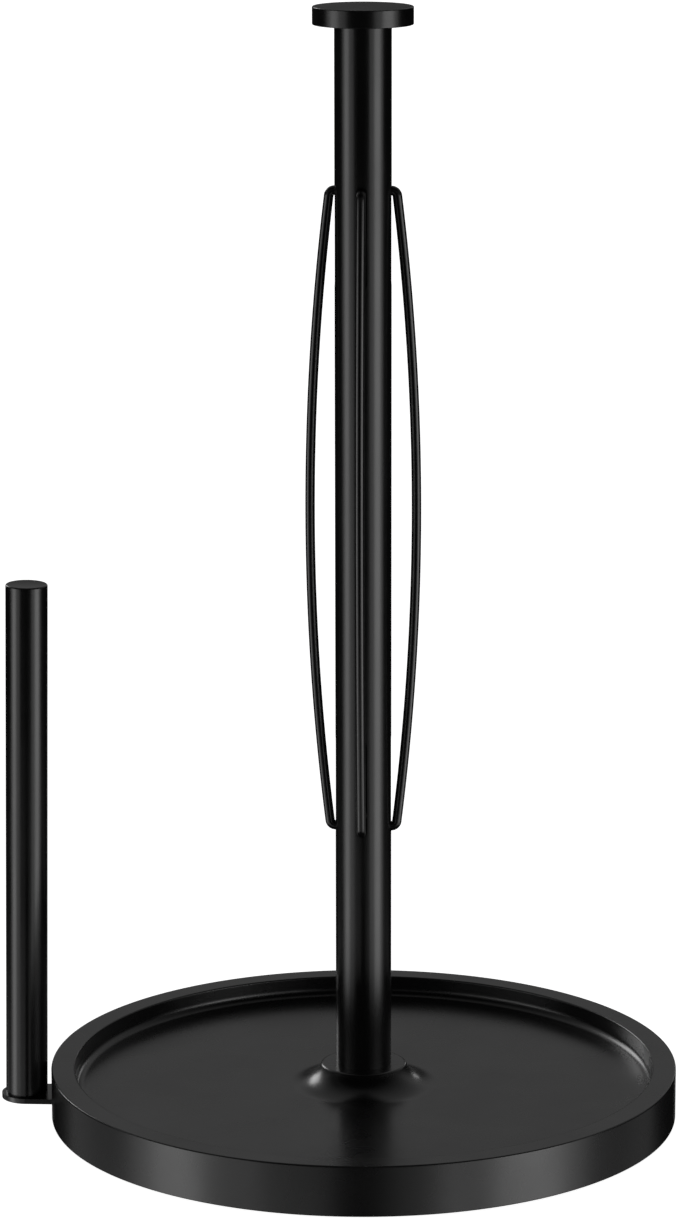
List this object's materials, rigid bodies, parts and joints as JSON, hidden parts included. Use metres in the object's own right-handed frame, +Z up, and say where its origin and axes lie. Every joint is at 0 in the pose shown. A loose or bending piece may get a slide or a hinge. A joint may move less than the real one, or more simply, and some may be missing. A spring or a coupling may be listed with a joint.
{
  "type": "paper towel holder",
  "caption": "Countertop paper towel holder: a weighted round dish, a slim pole with bowed wire springs and a flat cap, and an upright tear bar on a side bracket.",
  "frame": {"origin": "centre of the foot pad's underside, on the pole's axis, where the holder rests on the table", "axes": "+Z up along the pole, the tear bar stands on the -X side, and -Y faces the viewer"},
  "size_m": [0.1956, 0.181, 0.3204],
  "materials": {
    "black_paint": "satin black powder coat with a very fine texture",
    "black_wire": "satin black coated spring wire",
    "raw_steel": "plain cut steel plate with a thin oil film",
    "zinc_plate": "bright zinc plating",
    "foam_pad": "matt black closed-cell foam rubber"
  },
  "bodies": {
    "holder": {"base_dish": "black_paint", "ballast_plate": "raw_steel", "base_cover": "black_paint", "cover_posts": "zinc_plate", "cover_screws": "zinc_plate", "foot_pad": "foam_pad", "pole_tube": "black_paint", "pole_insert": "zinc_plate", "pole_bolt": "zinc_plate", "pole_washer": "zinc_plate", "pole_lock_washer": "zinc_plate", "cap_insert": "zinc_plate", "cap_stud": "zinc_plate", "pole_cap": "black_paint", "tear_bar_tube": "black_paint", "tear_bar_end_plug": "black_paint", "tear_bar_spigot": "zinc_plate", "tear_bar_bracket": "black_paint", "bracket_studs": "zinc_plate", "bracket_spacers": "zinc_plate", "bracket_nuts": "zinc_plate"},
    "spring_right": {"spring_right": "black_wire"},
    "spring_back": {"spring_back": "black_wire"},
    "spring_left": {"spring_left": "black_wire"},
    "spring_front": {"spring_front": "black_wire"}
  },
  "joints": [
    {"name": "press_right", "type": "slide", "parent": "holder", "child": "spring_right", "axis": [-0.9976, 0.0698, 0], "range_m": [0, 0.0025], "stiffness_N_per_m": 1200},
    {"name": "press_back", "type": "slide", "parent": "holder", "child": "spring_back", "axis": [-0.0698, -0.9976, 0], "range_m": [0, 0.0025], "stiffness_N_per_m": 1200},
    {"name": "press_left", "type": "slide", "parent": "holder", "child": "spring_left", "axis": [0.9976, -0.0698, 0], "range_m": [0, 0.0025], "stiffness_N_per_m": 1200},
    {"name": "press_front", "type": "slide", "parent": "holder", "child": "spring_front", "axis": [0.0698, 0.9976, 0], "range_m": [0, 0.0025], "stiffness_N_per_m": 1200}
  ]
}
